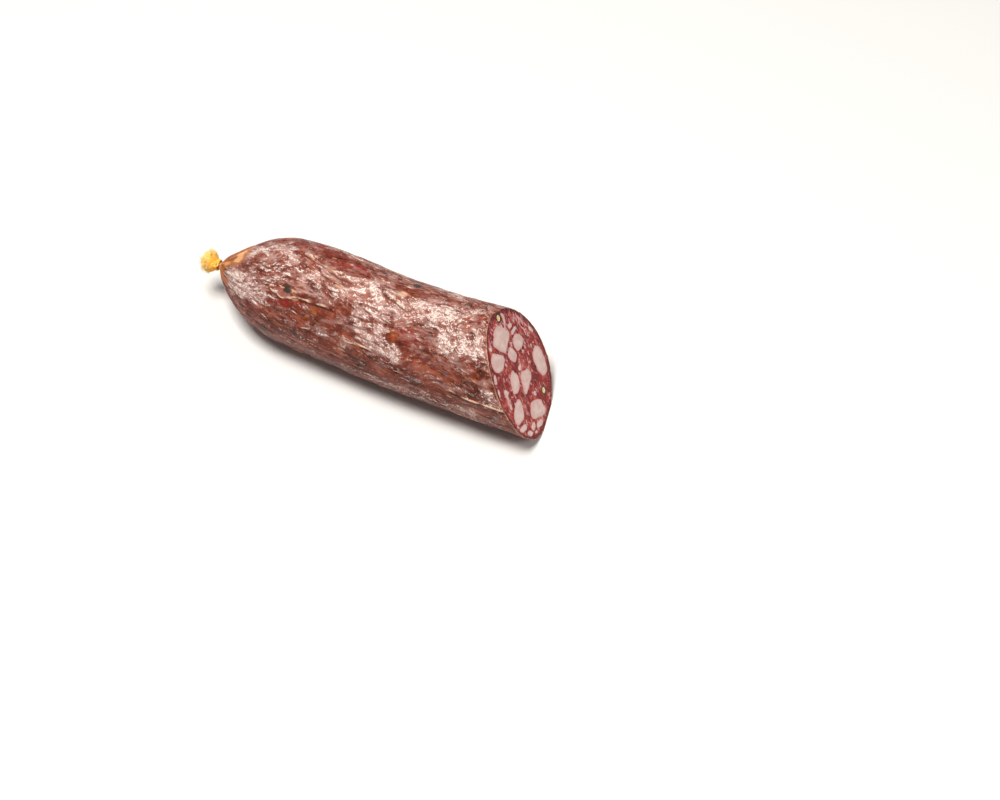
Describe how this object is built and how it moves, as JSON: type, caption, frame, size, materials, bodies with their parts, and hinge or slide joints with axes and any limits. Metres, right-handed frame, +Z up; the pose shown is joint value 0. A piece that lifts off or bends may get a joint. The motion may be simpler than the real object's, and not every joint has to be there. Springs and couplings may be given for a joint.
{
  "type": "cured sausage",
  "caption": "Length of dry-cured sausage lying on its side: wrinkled, bloom-dusted skin, one end tied with twine, the other cut on the slant to show lean, diced fat and peppercorns.",
  "frame": {"origin": "centre of the footprint of the bounding box, on the surface that the sausage lies on", "axes": "+X runs along the sausage from the tied end to the cut end, +Z is up, +Y completes the right-handed frame"},
  "size_m": [0.1639, 0.0506, 0.0491],
  "materials": {
    "casing": "semi-gloss dried gut skin, mottled maroon and brown, with pinkish-white mould bloom on its lengthwise wrinkles",
    "lean": "moist dark red lean mince, darker at the rim, with fine pale marbling",
    "fat": "waxy, slightly translucent pinkish-white pork fat",
    "peppercorn": "black wrinkled peppercorn skin with a cream core where it is halved",
    "twine": "golden yellow twine, frayed to pale fibres at its ends"
  },
  "bodies": {
    "root": {"casing": "casing", "filling": "lean", "tie_string": "twine", "string_tuft": "twine", "skin_fat": "fat", "fat_01": "fat", "fat_02": "fat", "fat_03": "fat", "fat_04": "fat", "fat_05": "fat", "fat_06": "fat", "fat_07": "fat", "fat_08": "fat", "fat_09": "fat", "fat_10": "fat", "fat_11": "fat", "fat_12": "fat", "fat_13": "fat", "fat_14": "fat", "fat_15": "fat", "fat_16": "fat", "fat_17": "fat", "fat_18": "fat", "fat_19": "fat", "fat_20": "fat", "fat_21": "fat", "fat_22": "fat", "fat_23": "fat", "fat_24": "fat", "fat_25": "fat", "cut_peppercorn_1": "peppercorn", "cut_peppercorn_2": "peppercorn", "skin_peppercorn_1": "peppercorn", "skin_peppercorn_2": "peppercorn"}
  },
  "joints": []
}
